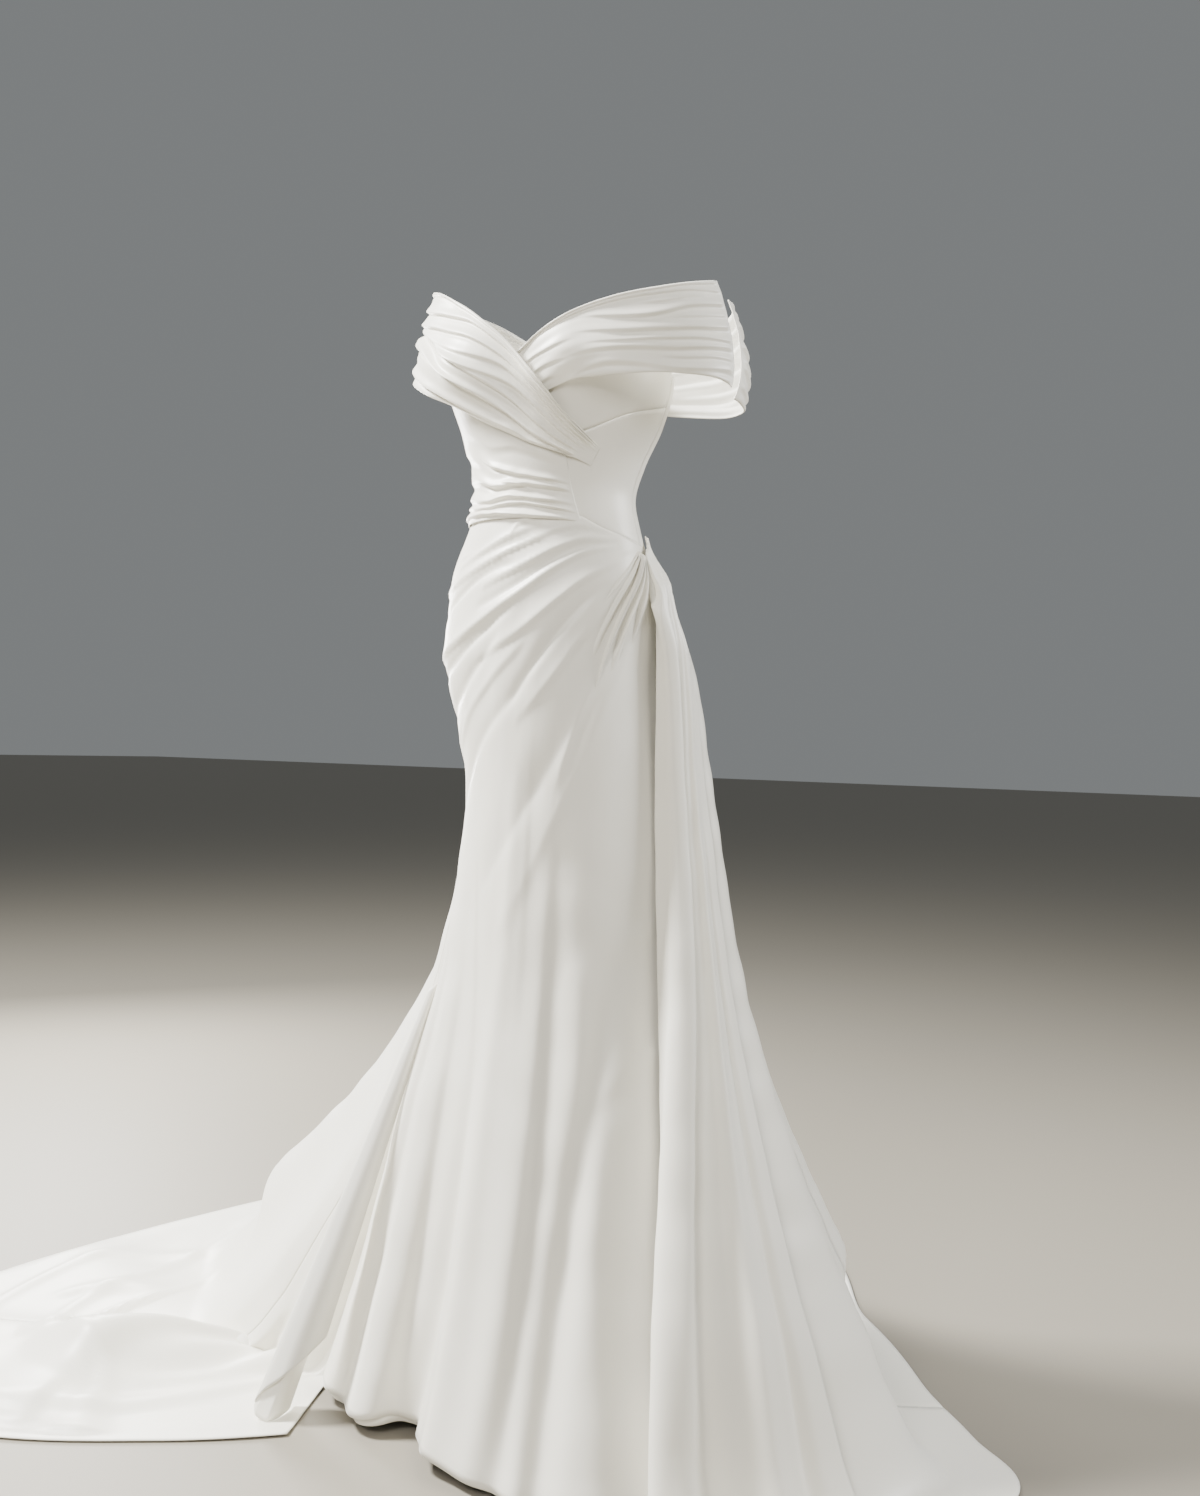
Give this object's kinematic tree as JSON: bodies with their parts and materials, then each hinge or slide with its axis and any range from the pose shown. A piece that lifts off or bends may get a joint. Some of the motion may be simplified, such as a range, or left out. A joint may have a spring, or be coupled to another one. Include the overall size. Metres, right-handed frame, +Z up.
{
  "type": "wedding dress",
  "caption": "Off-the-shoulder ivory satin wedding dress with a crossed pleated bodice, draped hip, long flared skirt and floor train, in its worn shape with nobody in it.",
  "frame": {"origin": "on the body's axis at the waist, where the wearer holds the dress up; the floor is 1.17 m below", "axes": "+Z up, -Y the front of the dress, +X the wearer's left"},
  "size_m": [1.5324, 1.4184, 1.4649],
  "materials": {
    "satin": "ivory satin with a soft sheen"
  },
  "bodies": {
    "root": {"bodice_front": "satin", "side_panel_left": "satin", "cup_left": "satin", "bodice_back_left": "satin", "bodice_back_right": "satin", "wrap_right": "satin", "wrap_left": "satin", "sleeve_left": "satin", "sleeve_right": "satin", "waist_drape": "satin", "skirt_front": "satin", "hip_fan": "satin", "skirt_side_left": "satin", "skirt_back_left": "satin", "skirt_back_right": "satin", "skirt_train_right": "satin", "skirt_side_right": "satin", "overskirt_left": "satin", "train_fold": "satin", "underskirt_hem": "satin"}
  },
  "joints": []
}
